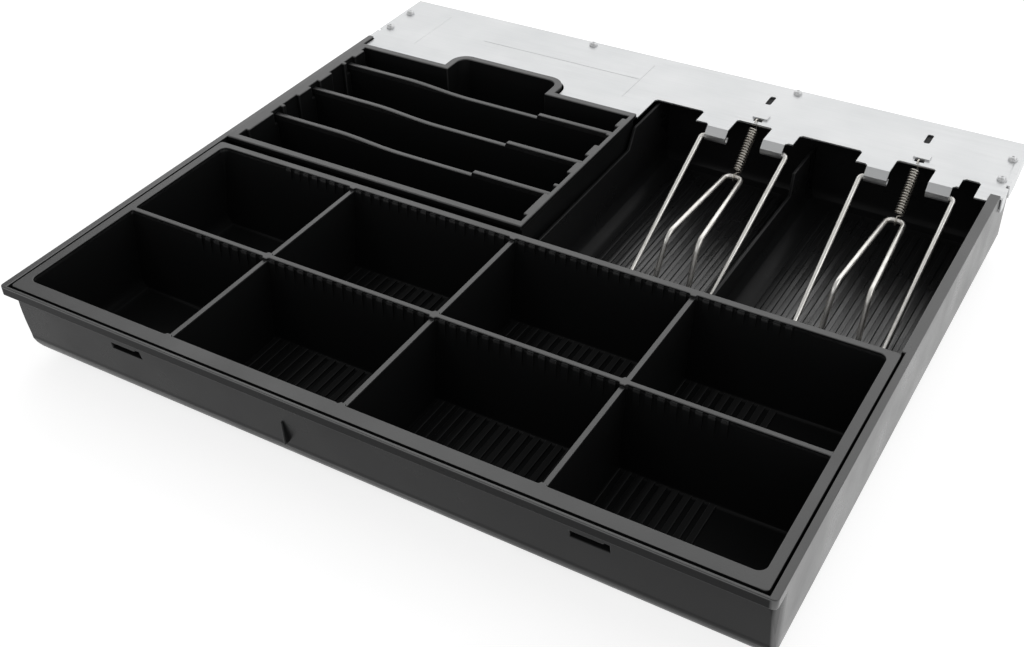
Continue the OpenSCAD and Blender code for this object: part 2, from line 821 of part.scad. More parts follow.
// Wire along a list of points, with a round bend of the given radius at each point between its
// ends. The straights run a little way into the bends, which are a trace thicker
module bent_wire(points, r, wire_r) {
    last = len(points) - 1;
    lap = 0.15;
    swell = 0.02;
    runs = [
        for (i = [0:last])
            i == 0 || i == last ? 0 : bend_run(points[i - 1], points[i], points[i + 1], r[i]) - lap
    ];
    for (i = [0:last - 1]) {
        u = unit(points[i + 1] - points[i]);
        rod(points[i] + runs[i] * u, points[i + 1] - runs[i + 1] * u, wire_r);
    }
    for (i = [1:last - 1]) bend(points[i - 1], points[i], points[i + 1], r[i], wire_r + swell);
}

// One clip: two journals, legs down to the floor, uprights, and prongs back to the loop
module note_clip(x) {
    half = [
        [knuckle_in + journal_in, 0, 0], [leg_x, 0, 0],
        [leg_x - leg_draw, -clip_reach, floor_wire - pivot_z],
        [prong_x, -clip_reach + foot_back, floor_wire - pivot_z],
        [prong_x - knee_in, -clip_reach + knee_back, prong_z - pivot_z],
        [loop_x, -loop_back, -loop_drop]
    ];
    n = len(half);
    left = [for (p = half) [-p[0], p[1], p[2]]];
    right = [for (i = [n - 1:-1:0]) half[i]];
    turns = [0, bend_r, bend_r, bend_r, prong_r, loop_r];
    back = [for (i = [n - 1:-1:0]) turns[i]];
    color([0.8, 0.79, 0.76]) placed() translate([x, pivot_y, pivot_z]) {
        bent_wire(concat(left, right), concat(turns, back), clip_wire / 2);
    }
}

module note_clip_left() {
    note_clip(clips[0]);
}

module note_clip_right() {
    note_clip(clips[1]);
}

// The spring's own axes: along runs from the loop to the plate, up is square to it
spring_start = [0, loop_y, loop_z];
spring_end = [0, hook_y, hook_z];
along = unit(spring_end - spring_start);
up = cross(along, [1, 0, 0]);
span = norm(spring_end - spring_start);
coil_r = (spring_od - spring_wire) / 2;
hook_r = max(clip_wire, norm([bar_w, plate_t])) / 2 + seat + spring_wire / 2;
lead = 0.6;
neck = hook_r + 2 * lead;
coil_len = span - 2 * neck;
coil_pitch = coil_len / spring_turns;

// A point of the spring from its place across, upwards and along
function spring_at(a, b, s) = spring_start + a * [1, 0, 0] + b * up + s * along;

// Route of the spring wire: a hook round the clip's loop, the curls, a hook round the plate's bar
hook_end = 90;
hook_step = 30;
spring_route = concat(
    [spring_at(0, -hook_r, spring_wire)],
    [for (t = [-hook_end:hook_step:hook_end]) spring_at(0, hook_r * sin(t), -hook_r * cos(t))],
    [spring_at(0, hook_r, lead), spring_at(0, coil_r, neck - spring_wire)],
    [for (i = [0:8 * spring_turns])
        spring_at(coil_r * sin(45 * i), coil_r * cos(45 * i), neck + coil_pitch * i / 8)],
    [spring_at(0, coil_r, span - neck + spring_wire), spring_at(0, hook_r, span - lead)],
    [for (t = [hook_end:-hook_step:-hook_end])
        spring_at(0, hook_r * sin(t), span + hook_r * cos(t))],
    [spring_at(0, -hook_r, span - spring_wire)]
);

// Tangent at each point of a route, and a normal carried along it without twist
function tangents(p) = [
    for (i = [0:len(p) - 1]) unit(p[min(i + 1, len(p) - 1)] - p[max(i - 1, 0)])
];
function carried(t, i, n) =
    i >= len(t) ? [] :
    let (m = unit(n - (n * t[i]) * t[i])) concat([m], carried(t, i + 1, m));

// Tube of six sides along a route
module tube(p, r) {
    t = tangents(p);
    n = carried(t, 0, [1, 0, 0]);
    sides = 6;
    last = len(p) - 1;
    rings = [
        for (i = [0:last], k = [0:sides - 1])
            p[i] + r * (cos(60 * k) * n[i] + sin(60 * k) * cross(t[i], n[i]))
    ];
    walls = [
        for (i = [0:last - 1], k = [0:sides - 1], f = [0, 1])
            let (a = i * sides + k, b = i * sides + (k + 1) % sides)
                f == 0 ? [a, a + sides, b] : [b, a + sides, b + sides]
    ];
    caps = [
        for (k = [1:sides - 2], f = [0, 1])
            f == 0 ? [0, k, k + 1] : [last * sides, last * sides + k + 1, last * sides + k]
    ];
    polyhedron(rings, concat(walls, caps));
}

// Least gap between curls of the spring, measured between points half a curl or more apart
spring_gap = min([
    for (i = [0:len(spring_route) - 1], j = [i + 5:1:len(spring_route) - 1])
        norm(spring_route[i] - spring_route[j])
]) - spring_wire;
echo(spring_gap = spring_gap);

module clip_spring(x) {
    color([0.5, 0.49, 0.46]) placed() translate([x, 0, 0]) tube(spring_route, spring_wire / 2);
}

module clip_spring_left() {
    clip_spring(clips[0]);
}

module clip_spring_right() {
    clip_spring(clips[1]);
}

tub();
coin_tray();
note_box();
note_divider_front();
note_divider_middle();
note_divider_rear();
rear_plate();
plate_screws();
note_clip_left();
note_clip_right();
clip_spring_left();
clip_spring_right();
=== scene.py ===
"""A cash drawer insert: a moulded tub, lift-out inserts, a steel rear plate and sprung note clips."""

import json
import logging
import math
from dataclasses import dataclass, replace
from enum import Enum
from typing import Sequence

import bmesh
import bpy
from mathutils import Matrix, Vector


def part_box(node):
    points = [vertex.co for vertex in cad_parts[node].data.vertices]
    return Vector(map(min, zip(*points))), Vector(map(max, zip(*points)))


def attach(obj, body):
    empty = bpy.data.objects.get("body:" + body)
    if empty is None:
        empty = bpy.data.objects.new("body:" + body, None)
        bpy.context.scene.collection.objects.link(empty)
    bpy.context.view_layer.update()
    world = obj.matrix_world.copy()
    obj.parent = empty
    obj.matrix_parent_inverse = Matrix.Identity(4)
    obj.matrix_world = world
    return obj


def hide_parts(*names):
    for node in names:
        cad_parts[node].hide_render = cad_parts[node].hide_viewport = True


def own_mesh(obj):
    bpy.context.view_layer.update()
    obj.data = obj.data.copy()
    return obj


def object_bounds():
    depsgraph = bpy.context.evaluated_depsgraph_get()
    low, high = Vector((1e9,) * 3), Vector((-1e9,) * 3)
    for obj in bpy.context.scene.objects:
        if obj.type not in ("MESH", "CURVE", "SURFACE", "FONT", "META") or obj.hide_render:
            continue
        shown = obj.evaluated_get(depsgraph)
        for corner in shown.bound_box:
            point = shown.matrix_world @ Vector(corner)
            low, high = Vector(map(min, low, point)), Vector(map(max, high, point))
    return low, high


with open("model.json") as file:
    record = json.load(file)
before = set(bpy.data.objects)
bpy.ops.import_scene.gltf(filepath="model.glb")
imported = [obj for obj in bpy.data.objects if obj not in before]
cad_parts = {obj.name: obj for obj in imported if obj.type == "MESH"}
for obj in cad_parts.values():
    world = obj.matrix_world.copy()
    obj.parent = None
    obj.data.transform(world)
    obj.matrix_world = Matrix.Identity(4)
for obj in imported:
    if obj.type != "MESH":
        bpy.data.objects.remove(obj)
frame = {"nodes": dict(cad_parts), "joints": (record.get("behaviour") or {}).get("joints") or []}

MM = 0.001
CAD_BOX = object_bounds()
# Marks the rounded faces that take a painted highlight in their colour
PAINTED_EDGE_HIGHLIGHT = "painted_edge_highlight"

# Points nearer than this are one point, and faces that turn less than this are one face
SAME_POINT = 0.001 * MM
SAME_PLANE = math.radians(0.2)
# A facet of a curve is narrower than this, and turns this far from the next one
FACET_WIDE = 4 * MM
CURVE_TURN = (math.radians(0.8), math.radians(26))
# Faces that turn less than this may share a corner's normal, as the cosine of the turn
NEAR_TURN = math.cos(math.radians(62))
# An edge in a corner tighter than this has no room to be rounded
TIGHT_CORNER = math.radians(30)

Colour = tuple[float, float, float]
Span = tuple[float, float]
Triple = tuple[float, float, float]

log = logging.getLogger("insert")


class Side(Enum):
    """The two flat note bays, seen from the front."""

    LEFT = "left"
    RIGHT = "right"


class Place(Enum):
    """The three dividers of the note box, from the front."""

    FRONT = "front"
    MIDDLE = "middle"
    REAR = "rear"


class Shader:
    """A small helper that wires the nodes of one material."""

    def __init__(self, name: str) -> None:
        """Starts an empty material with an output and a principled shader.

        Args:
            name: the material's name.
        """
        self.material = bpy.data.materials.new(name)
        self.material.use_nodes = True
        self.tree = self.material.node_tree
        self.tree.nodes.clear()
        self.skin = self.tree.nodes.new("ShaderNodeBsdfPrincipled")
        output = self.tree.nodes.new("ShaderNodeOutputMaterial")
        self.tree.links.new(self.skin.outputs[0], output.inputs["Surface"])
        self.place = self.tree.nodes.new("ShaderNodeTexCoord").outputs["Object"]

    def put(self, socket: str, value: float | Colour) -> None:
        """Sets one constant on the shader's own socket."""
        plain = isinstance(value, (int, float))
        self.skin.inputs[socket].default_value = value if plain else (*value, 1.0)

    def link(self, source: bpy.types.NodeSocket, socket: str) -> None:
        """Feeds one socket of the shader."""
        self.tree.links.new(source, self.skin.inputs[socket])

    def stretched(self, scale: Sequence[float]) -> bpy.types.NodeSocket:
        """Gives Object coordinates that are scaled along each axis."""
        node = self.tree.nodes.new("ShaderNodeMapping")
        node.inputs["Scale"].default_value = scale
        self.tree.links.new(self.place, node.inputs["Vector"])
        return node.outputs["Vector"]

    def noise(
        self, scale: float, detail: float, place: bpy.types.NodeSocket | None = None
    ) -> bpy.types.NodeSocket:
        """Adds a noise texture.

        Args:
            scale: grains in each metre.
            detail: octaves of finer noise.
            place: coordinates, or None for plain Object coordinates.

        Returns:
            The noise's value socket.
        """
        node = self.tree.nodes.new("ShaderNodeTexNoise")
        node.inputs["Scale"].default_value = scale
        node.inputs["Detail"].default_value = detail
        self.tree.links.new(place or self.place, node.inputs["Vector"])
        return node.outputs["Fac"]

    def along(self, axis: str) -> bpy.types.NodeSocket:
        """Gives one Object coordinate."""
        node = self.tree.nodes.new("ShaderNodeSeparateXYZ")
        self.tree.links.new(self.place, node.inputs["Vector"])
        return node.outputs[axis]

    def attribute(self, name: str) -> bpy.types.NodeSocket:
        """Reads a value that the mesh itself carries."""
        node = self.tree.nodes.new("ShaderNodeAttribute")
        node.attribute_name = name
        return node.outputs["Fac"]

    def spread(
        self, source: bpy.types.NodeSocket, low: float, high: float, span: Sequence[float] = (0.0, 1.0)
    ) -> bpy.types.NodeSocket:
        """Maps a value from one span to another.

        Args:
            source: the value that is mapped.
            low: result at the span's start.
            high: result at the span's end.
            span: the part of the source that is used.

        Returns:
            The mapped value's socket.
        """
        node = self.tree.nodes.new("ShaderNodeMapRange")
        node.inputs["From Min"].default_value = span[0]
        node.inputs["From Max"].default_value = span[1]
        node.inputs["To Min"].default_value = low
        node.inputs["To Max"].default_value = high
        self.tree.links.new(source, node.inputs["Value"])
        return node.outputs["Result"]

    def combine(
        self, how: str, a: bpy.types.NodeSocket, b: bpy.types.NodeSocket
    ) -> bpy.types.NodeSocket:
        """Works out one value from two.

        Args:
            how: the math node's operation.
            a: the first value.
            b: the second value.

        Returns:
            The result's socket.
        """
        node = self.tree.nodes.new("ShaderNodeMath")
        node.operation = how
        self.tree.links.new(a, node.inputs[0])
        self.tree.links.new(b, node.inputs[1])
        return node.outputs[0]

    def times(self, a: bpy.types.NodeSocket, b: bpy.types.NodeSocket) -> bpy.types.NodeSocket:
        """Multiplies two values."""
        return self.combine("MULTIPLY", a, b)

    def larger(self, a: bpy.types.NodeSocket, b: bpy.types.NodeSocket) -> bpy.types.NodeSocket:
        """Takes the larger of two values."""
        return self.combine("MAXIMUM", a, b)

    def tint(self, share: bpy.types.NodeSocket, first: Colour, last: Colour) -> bpy.types.NodeSocket:
        """Blends two colours by a value from 0 to 1."""
        node = self.tree.nodes.new("ShaderNodeValToRGB")
        node.color_ramp.elements[0].color = (*first, 1.0)
        node.color_ramp.elements[1].color = (*last, 1.0)
        self.tree.links.new(share, node.inputs["Fac"])
        return node.outputs["Color"]

    def emboss(self, height: bpy.types.NodeSocket, depth: float) -> None:
        """Turns a height into relief.

        Args:
            height: the height's value socket.
            depth: relief of the value 1, in metres.
        """
        node = self.tree.nodes.new("ShaderNodeBump")
        node.inputs["Distance"].default_value = depth
        self.tree.links.new(height, node.inputs["Height"])
        self.link(node.outputs["Normal"], "Normal")


@dataclass(frozen=True)
class PolishedBand:
    """A span along one axis over which the grain gives way to a polished face."""

    axis: str
    # Where the polish starts, is full and, if it does, ends, and over how much it fades there
    start_mm: float
    full_mm: float
    end_mm: float = 1000.0
    fade_mm: float = 0.3
    within: "PolishedBand | None" = None

    def share(self, shader: Shader) -> bpy.types.NodeSocket:
        """Wires how polished each place is, from 0 to 1.

        Args:
            shader: the material's helper.

        Returns:
            The share's socket.
        """
        place = shader.along(self.axis)
        risen = shader.spread(place, 0.0, 1.0, (self.start_mm * MM, self.full_mm * MM))
        kept = shader.spread(place, 1.0, 0.0, (self.end_mm * MM, (self.end_mm + self.fade_mm) * MM))
        share = shader.times(risen, kept)
        return shader.times(share, self.within.share(shader)) if self.within else share


@dataclass(frozen=True)
class MouldedPlastic:
    """Black moulded plastic with a fine grain, polished along its rims, floors and outer side, with a
    patchy painted highlight on its rounded edges.
    """

    name: str
    slot: str
    colour: Colour
    # edge is the colour of the painted highlight on rounded edges
    edge: Colour
    polished: tuple[PolishedBand, ...]
    roughness: float
    sheen_spread: float = 0.05
    density: float = 1.55
    dull_gloss: float = 0.08
    rim_gloss: float = 1.0
    # Grains and clouds in each metre, and the relief of the grain in metres
    grain: float = 2600.0
    grain_octaves: float = 1.0
    relief: float = 0.00003
    clouds: float = 38.0
    cloud_octaves: float = 4.0
    cloud_span: Span = (0.3, 0.7)
    # How patchy the painted highlight along rounded edges is
    least_highlight: float = 0.35
    highlight_span: Span = (0.35, 0.65)

    def make(self) -> bpy.types.Material:
        """Makes the material."""
        shader = Shader(self.name)
        shader.put("IOR", self.density)
        polish = self.polished[0].share(shader)
        for band in self.polished[1:]:
            polish = shader.larger(polish, band.share(shader))
        shader.link(shader.spread(polish, self.dull_gloss, self.rim_gloss), "Specular IOR Level")
        cloud = shader.noise(self.clouds, self.cloud_octaves)
        patches = shader.spread(cloud, self.least_highlight, 1.0, self.highlight_span)
        # A lighter colour on the rounded edges is a painted highlight, laid in patches
        highlight_share = shader.times(shader.attribute(PAINTED_EDGE_HIGHLIGHT), patches)
        shader.link(shader.tint(highlight_share, self.colour, self.edge), "Base Color")
        low, high = self.roughness - self.sheen_spread, self.roughness + self.sheen_spread
        shader.link(shader.spread(cloud, low, high, self.cloud_span), "Roughness")
        shader.emboss(shader.noise(self.grain, self.grain_octaves), self.relief)
        return shader.material


@dataclass(frozen=True)
class ZincSheet:
    """Dull zinc-plated sheet with faint rolling lines along it."""

    name: str
    slot: str
    dark: Colour = (0.66, 0.672, 0.678)
    light: Colour = (0.73, 0.737, 0.742)
    roughness: float = 0.42
    sheen_spread: float = 0.07
    # Rolling lines and clouds in each metre, and how far the lines are drawn out
    lines: float = 900.0
    line_octaves: float = 3.0
    line_draw: Triple = (0.04, 1.0, 1.0)
    line_span: Span = (0.25, 0.75)
    relief: float = 0.000012
    clouds: float = 24.0
    cloud_octaves: float = 5.0
    cloud_span: Span = (0.3, 0.7)

    def make(self) -> bpy.types.Material:
        """Makes the material."""
        shader = Shader(self.name)
        shader.put("Metallic", 1.0)
        rolled = shader.noise(self.lines, self.line_octaves, shader.stretched(self.line_draw))
        cloud = shader.spread(shader.noise(self.clouds, self.cloud_octaves), 0.0, 1.0, self.cloud_span)
        shader.link(shader.tint(cloud, self.dark, self.light), "Base Color")
        low, high = self.roughness - self.sheen_spread, self.roughness + self.sheen_spread
        shader.link(shader.spread(rolled, low, high, self.line_span), "Roughness")
        shader.emboss(rolled, self.relief)
        return shader.material


@dataclass(frozen=True)
class DrawnWire:
    """Round metal wire with fine drawing lines and a little tarnish."""

    name: str
    dull: Colour
    bright: Colour
    roughness: float
    # Roughness of tarnished and of bright wire, as shares
    rough_shares: Span = (1.25, 0.85)
    # Spots of tarnish and drawing lines in each metre, and how far the lines are drawn out
    spots: float = 120.0
    spot_octaves: float = 4.0
    spot_span: Span = (0.35, 0.65)
    lines: float = 1600.0
    line_octaves: float = 2.0
    line_draw: Triple = (1.0, 0.08, 0.2)
    relief: float = 0.00001

    def make(self) -> bpy.types.Material:
        """Makes the material."""
        shader = Shader(self.name)
        shader.put("Metallic", 1.0)
        tarnish = shader.spread(shader.noise(self.spots, self.spot_octaves), 0.0, 1.0, self.spot_span)
        shader.link(shader.tint(tarnish, self.dull, self.bright), "Base Color")
        low, high = (self.roughness * share for share in self.rough_shares)
        shader.link(shader.spread(tarnish, low, high), "Roughness")
        lines = shader.noise(self.lines, self.line_octaves, shader.stretched(self.line_draw))
        shader.emboss(lines, self.relief)
        return shader.material


# Where the plastic is polished: at the bays' floors between their ribs, the right side and the rims
BAY_FLOOR = PolishedBand("Z", 3.14, 3.03)
LEFT_FLOOR = replace(BAY_FLOOR, within=PolishedBand("X", 14.0, 34.0, 73.0))
RIGHT_FLOOR = replace(BAY_FLOOR, within=PolishedBand("X", 102.0, 122.0, 178.0))
OUTER_SIDE = PolishedBand("X", 187.0, 188.4)
TUB_RIM = PolishedBand("Z", 48.2, 48.7)
TRAY_RIM = PolishedBand("Z", 48.6, 48.85)
CUP_DIVIDERS = PolishedBand("Z", 46.4, 47.3, 47.8)
BOX_RIM = PolishedBand("Z", 49.2, 49.7)
DIVIDER_RIM = PolishedBand("Z", 44.2, 44.7)
# Each plastic's second colour is a painted highlight on its rounded edges
TUB_PLASTIC = MouldedPlastic(
    "tub_plastic", "tub_plastic", (0.013, 0.0132, 0.0136), (0.034, 0.0345, 0.035),
    (TUB_RIM, OUTER_SIDE, LEFT_FLOOR, RIGHT_FLOOR), roughness=0.3,
)
TRAY_PLASTIC = MouldedPlastic(
    "tray_plastic", "tray_plastic", (0.009, 0.0093, 0.0095), (0.03, 0.0305, 0.031),
    (TRAY_RIM, CUP_DIVIDERS), roughness=0.34,
)
BOX_PLASTIC = replace(TRAY_PLASTIC, name="box_plastic", polished=(BOX_RIM,))
DIVIDER_PLASTIC = replace(TRAY_PLASTIC, name="divider_plastic", polished=(DIVIDER_RIM,))
PLATE_STEEL = ZincSheet("plate_steel", "plate_steel")
SCREW_STEEL = ZincSheet("screw_steel", "screw_steel", (0.68, 0.69, 0.695), (0.76, 0.765, 0.77))
CLIP_WIRE = DrawnWire("clip_wire", (0.84, 0.82, 0.78), (0.96, 0.945, 0.91), roughness=0.34)
SPRING_WIRE = DrawnWire("spring_wire", (0.58, 0.55, 0.5), (0.78, 0.75, 0.69), roughness=0.3)


def finish_piece(
    mesh: bpy.types.Mesh, name: str, body: str, nodes: Sequence[str]
) -> bpy.types.Object:
    """Makes an object of a mesh, and sets what it rides on and stands for.

    Args:
        mesh: the finished mesh, with its place in its vertices.
        name: the piece's name.
        body: the body that it rides on.
        nodes: the solids that it replaces.

    Returns:
        The piece.
    """
    piece = bpy.data.objects.new(name, mesh)
    bpy.context.scene.collection.objects.link(piece)
    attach(piece, body)
    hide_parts(*nodes)
    log.info("%s: %d faces on %s", name, len(mesh.polygons), body)
    return piece


def smooth_mesh(bm: bmesh.types.BMesh, name: str, crease: float) -> bpy.types.Mesh:
    """Closes a bmesh into a smooth-shaded mesh.

    Args:
        bm: the bmesh, which is freed.
        name: the mesh's name.
        crease: edges sharper than this stay crisp, in degrees.

    Returns:
        The mesh.
    """
    mesh = bpy.data.meshes.new(name)
    bm.to_mesh(mesh)
    bm.free()
    mesh.shade_smooth()
    mesh.set_sharp_from_angle(angle=math.radians(crease))
    return mesh


def is_plain(face: bmesh.types.BMFace) -> bool:
    """Tells whether a face is flat on its own, and not one facet of a curve."""
    longest = max(e.calc_length() for e in face.edges)
    if face.calc_area() > FACET_WIDE * longest:
        return True
    turns = [e.calc_face_angle(0.0) for e in face.edges if e.is_manifold]
    return not any(CURVE_TURN[0] < t < CURVE_TURN[1] for t in turns)


def has_room(edge: bmesh.types.BMEdge) -> bool:
    """Tells whether the faces beside an edge leave room to round it."""
    corners = [c.calc_angle() for loop in edge.link_loops for c in (loop, loop.link_loop_next)]
    return min(corners) > TIGHT_CORNER


def shaded_mesh(bm: bmesh.types.BMesh, name: str, mark: bmesh.types.BMLayerItem) -> bpy.types.Mesh:
    """Closes a rounded solid into a mesh whose flat faces shade flat and whose curves run into them.

    Args:
        bm: the bmesh, which is freed.
        name: the mesh's name.
        mark: the layer that marks the faces of rounded edges.

    Returns:
        The mesh, with its own normals.
    """
    bm.normal_update()
    plain = {f for f in bm.faces if f[mark] == 0.0 and is_plain(f)}
    normals = []
    for face in bm.faces:
        for loop in face.loops:
            if face in plain:
                normals.append(face.normal.copy())
                continue
            near = [f for f in loop.vert.link_faces if f.normal.dot(face.normal) > NEAR_TURN]
            flat = [f for f in near if f in plain]
            if flat:
                normals.append(max(flat, key=lambda f: f.normal.dot(face.normal)).normal.copy())
            else:
                normals.append(sum((f.normal for f in near), Vector()).normalized())
    mesh = bpy.data.meshes.new(name)
    bm.to_mesh(mesh)
    bm.free()
    mesh.shade_smooth()
    mesh.normals_split_custom_set(normals)
    return mesh


@dataclass
class SoftenedSolid:
    """A rigid piece that keeps its solid's form, with its sharp outer edges rounded off."""

    node: str
    body: str
    finish: MouldedPlastic | ZincSheet
    round_mm: float
    steps: int = 2
    sharp_deg: float = 28.0

    def build(self) -> bpy.types.Mesh:
        """Copies the solid's mesh, merges it and rounds its outer edges.

        Returns:
            The rounded mesh, with the rounded faces marked for the painted edge highlight.
        """
        bm = bmesh.new()
        bm.from_mesh(frame["nodes"][self.node].data)
        bmesh.ops.remove_doubles(bm, verts=bm.verts, dist=SAME_POINT)
        bmesh.ops.dissolve_limit(bm, angle_limit=SAME_PLANE, verts=bm.verts, edges=bm.edges)
        mark = bm.faces.layers.float.new(PAINTED_EDGE_HIGHLIGHT)
        sharp = math.radians(self.sharp_deg)
        solid = [e for e in bm.edges if e.is_manifold]
        edges = [e for e in solid if e.calc_face_angle_signed() > sharp and has_room(e)]
        rounded = bmesh.ops.bevel(
            bm, geom=edges, offset=self.round_mm * MM, offset_type="OFFSET", affect="EDGES",
            segments=self.steps, profile=0.5, clamp_overlap=False, material=-1, loop_slide=True,
        )
        # The rounded faces take the painted edge highlight
        for face in rounded["faces"]:
            face[mark] = 1.0
        return shaded_mesh(bm, self.node + "_shape", mark)

    def dress(self, name: str) -> bpy.types.Object:
        """Builds the piece and gives it its finish.

        Args:
            name: the piece's name.

        Returns:
            The piece.
        """
        mesh = self.build()
        mesh.materials.append(material_of(self.finish))
        return finish_piece(mesh, name, self.body, [self.node])


MATERIALS: dict[str, bpy.types.Material] = {}


def material_of(finish: MouldedPlastic | ZincSheet | DrawnWire) -> bpy.types.Material:
    """Makes each finish's material once.

    Args:
        finish: the finish.

    Returns:
        Its material.
    """
    if finish.name not in MATERIALS:
        MATERIALS[finish.name] = finish.make()
    return MATERIALS[finish.name]


class BentWire:
    """A round wire that grows from straights, bends and coils, as a wire bender makes it."""

    # Angle between the rings of a bend, the fewest of them, and the crease that keeps cut ends crisp
    STEP_DEG = 6.0
    LEAST_STEPS = 3
    END_CREASE = 60.0

    def __init__(self, start: Vector, heading: Vector, radius: float, sides: int = 14) -> None:
        """Starts with one ring of edges.

        Args:
            start: the wire's first point, in metres.
            heading: the direction in which it sets out.
            radius: the wire's radius.
            sides: edges round the wire.
        """
        self.bm = bmesh.new()
        self.point = start.copy()
        turn = Vector((0, 0, 1)).rotation_difference(heading).to_matrix().to_4x4()
        place = Matrix.Translation(start) @ turn
        made = bmesh.ops.create_circle(
            self.bm, cap_ends=False, segments=sides, radius=radius, matrix=place
        )
        self.ring: list[bmesh.types.BMEdge] = list({e for v in made["verts"] for e in v.link_edges})

    def straight(self, point: Vector) -> None:
        """Grows a straight run to a point."""
        grown = bmesh.ops.extrude_edge_only(self.bm, edges=self.ring)["geom"]
        verts = [g for g in grown if isinstance(g, bmesh.types.BMVert)]
        bmesh.ops.translate(self.bm, verts=verts, vec=point - self.point)
        fresh = set(verts)
        self.ring = [g for g in grown if isinstance(g, bmesh.types.BMEdge) and set(g.verts) <= fresh]
        self.point = point.copy()

    def turn(self, centre: Vector, axis: Vector, angle: float, steps: int, rise: float = 0.0) -> None:
        """Grows an arc, or a coil where the wire also rises.

        Args:
            centre: a point on the arc's axis.
            axis: the axis's direction, a unit vector.
            angle: how far the wire turns, in radians.
            steps: rings along the arc.
            rise: how far it moves along the axis in all.
        """
        corners = list({v for e in self.ring for v in e.verts})
        spun = bmesh.ops.spin(
            self.bm, geom=corners + self.ring, cent=centre, axis=axis, dvec=axis * (rise / steps),
            angle=angle, steps=steps, use_merge=False, use_normal_flip=False, use_duplicate=False,
        )
        self.ring = [g for g in spun["geom_last"] if isinstance(g, bmesh.types.BMEdge)]
        self.point = centre + Matrix.Rotation(angle, 3, axis) @ (self.point - centre) + axis * rise

    def corner(self, corner: Vector, onward: Vector, radius: float) -> None:
        """Runs towards a corner and bends there.

        Args:
            corner: where the two straights would meet.
            onward: the next corner.
            radius: the bend's radius along the wire's middle.
        """
        before = (corner - self.point).normalized()
        after = (onward - corner).normalized()
        angle = before.angle(after)
        run = radius * math.tan(angle / 2)
        self.straight(corner - before * run)
        axis = before.cross(after).normalized()
        steps = max(self.LEAST_STEPS, round(math.degrees(angle) / self.STEP_DEG))
        self.turn(self.point + axis.cross(before) * radius, axis, angle, steps)

    def close(self, name: str) -> bpy.types.Mesh:
        """Caps both ends and gives the mesh.

        Args:
            name: the mesh's name.

        Returns:
            The closed, smooth-shaded mesh.
        """
        open_edges = [e for e in self.bm.edges if e.is_boundary]
        bmesh.ops.holes_fill(self.bm, edges=open_edges, sides=0)
        bmesh.ops.recalc_face_normals(self.bm, faces=self.bm.faces)
        return smooth_mesh(self.bm, name, self.END_CREASE)


def joint_place(name: str) -> Vector:
    """Gives a hinge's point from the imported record, in metres."""
    return Vector(next(j for j in frame["joints"] if j["name"] == name)["pos_m"])


@dataclass
class NoteClip:
    """A wire clip: two side arms, and two prongs that meet in a loop for the spring."""

    side: Side
    wire_mm: float = 2.8
    ends_mm: Triple = (10.6, 0.0, 0.0)
    # The right half's corners from the hinge, and the bend at each of them
    corners_mm: tuple[Triple, ...] = (
        (24.2, 0.0, 0.0),
        (22.2, -91.0, -37.3),
        (9.2, -86.5, -37.3),
        (8.4, -75.0, -15.5),
        (4.5, -9.3, -15.0),
    )
    bends_mm: tuple[float, ...] = (2.5, 2.5, 2.5, 9.0, 3.9)

    def build(self) -> bpy.types.Mesh:
        """Bends the wire from one end to the other.

        Returns:
            The wire's mesh.
        """
        pivot = joint_place(f"clip_{self.side.value}_lift")
        half = [Vector(c) for c in self.corners_mm]
        flip = Vector((-1, 1, 1))
        route = [c * flip for c in half] + half[::-1] + [Vector(self.ends_mm)]
        route = [pivot + c * MM for c in route]
        start = pivot + Vector(self.ends_mm) * flip * MM
        wire = BentWire(start, Vector((-1, 0, 0)), self.wire_mm / 2 * MM)
        for corner, onward, bend in zip(route, route[1:], self.bends_mm + self.bends_mm[::-1]):
            wire.corner(corner, onward, bend * MM)
        wire.straight(route[-1])
        return wire.close(f"note_clip_{self.side.value}_shape")

    def dress(self) -> bpy.types.Object:
        """Builds the clip and gives it its bright plating.

        Returns:
            The piece.
        """
        mesh = self.build()
        mesh.materials.append(material_of(CLIP_WIRE))
        tag = self.side.value
        nodes = [f"note_clip_{tag}"]
        return finish_piece(mesh, f"clip_wire_{tag}", f"clip_{tag}_body", nodes)


